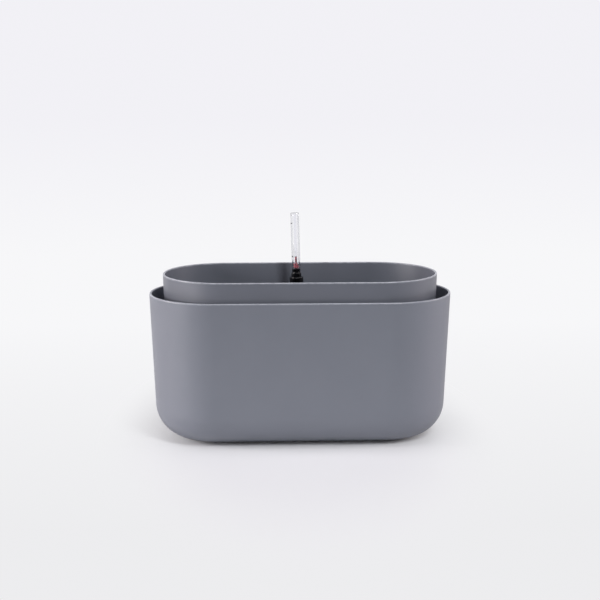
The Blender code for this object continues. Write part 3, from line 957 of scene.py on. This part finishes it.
# Studio light
# Two softboxes on the left, one of them low, and one on the right brighten the round ends. A
# tall narrow one in front throws the gauge's shadow on the liner, and one overhead lights the
# table. Gloss mirrors a pale backdrop and white cards beside the table in a dim room.
SOFTBOX_DISTANCE = 1.5
OVERHEAD_DISTANCE = 1.4
ROOM_STRENGTH = 0.02
BACKDROP_HIGH = (0.885, 0.878, 0.918, 1)
BACKDROP_FADE = (0, 0.4)
BACKDROP_FOOT = (-0.05, -0.15)
SIDE_CARDS_FADE = (-0.90, -0.45)
SIDE_CARDS_TOP = (0.35, 0.20)


def add_softbox(name, bearing, elevation, size, power, colour, distance=SOFTBOX_DISTANCE):
    """A lamp that faces the pot. Its bearing runs from the front towards the right."""
    lamp = bpy.data.lights.new(name, "AREA")
    lamp.shape = "RECTANGLE"
    lamp.size, lamp.size_y = size
    lamp.energy = power
    lamp.color = colour
    made = bpy.data.objects.new(name, lamp)
    bpy.context.scene.collection.objects.link(made)
    tilt = Matrix.Rotation(-math.radians(elevation), 4, "X")
    way = Matrix.Rotation(math.radians(bearing), 4, "Z") @ tilt @ Vector((0, -1, 0))
    made.location = Vector((0, 0, pot_high.z / 2)) + way * distance
    made.rotation_euler = (-way).to_track_quat("-Z", "Y").to_euler()


add_softbox(
    "left_softbox",
    bearing=-85,
    elevation=17,
    size=(0.6, 0.7),
    power=15.5,
    colour=(1.0, 0.94, 0.935),
)
add_softbox(
    "low_left_softbox",
    bearing=-60,
    elevation=6,
    size=(0.5, 0.3),
    power=6.3,
    colour=(1.0, 0.97, 0.96),
)
add_softbox(
    "right_softbox",
    bearing=90,
    elevation=13,
    size=(0.75, 0.6),
    power=8.1,
    colour=(1.0, 0.875, 0.880),
)
add_softbox(
    "front_softbox",
    bearing=30,
    elevation=46,
    size=(0.36, 0.55),
    power=11.5,
    colour=(0.970, 0.995, 1.0),
)
add_softbox(
    "overhead_softbox",
    bearing=0,
    elevation=82,
    size=(0.8, 0.7),
    power=6.0,
    colour=(0.93, 0.92, 1.0),
    distance=OVERHEAD_DISTANCE,
)


def make_room():
    """The dim room, and the white surround that the camera and glossy surfaces see in it."""
    made = bpy.data.worlds.new("studio")
    made.use_nodes = True
    sky = made.node_tree
    room = sky.nodes["Background"]
    plug(sky, room, {"Color": (1, 1, 1, 1), "Strength": ROOM_STRENGTH})
    way = add_node(sky, "ShaderNodeTexCoord").outputs["Generated"]
    parts = add_node(sky, "ShaderNodeSeparateXYZ", {"Vector": way}).outputs
    foot = remap(sky, parts["Z"], BACKDROP_FOOT)
    backdrop = mix_colours(sky, foot, BACKDROP_HIGH, SURROUND_FAR)
    white = add_node(sky, "ShaderNodeBackground", {"Color": backdrop, "Strength": 1.0})
    behind = remap(sky, parts["Y"], BACKDROP_FADE)
    beside = remap(sky, parts["Y"], SIDE_CARDS_FADE)
    below_top = remap(sky, parts["Z"], SIDE_CARDS_TOP)
    side_cards = calculate(sky, "MULTIPLY", beside, below_top)
    around = calculate(sky, "MAXIMUM", behind, side_cards)
    glossy = add_node(sky, "ShaderNodeLightPath").outputs["Is Glossy Ray"]
    mirrored = calculate(sky, "MULTIPLY", glossy, around)
    share = calculate(sky, "MAXIMUM", seen_directly(sky), mirrored)
    both = {0: share, 1: room.outputs["Background"], 2: white.outputs["Background"]}
    mixed = add_node(sky, "ShaderNodeMixShader", both).outputs["Shader"]
    plug(sky, sky.nodes["World Output"], {"Surface": mixed})
    return made


bpy.context.scene.world = make_room()
bpy.context.scene.view_settings.view_transform = "Standard"
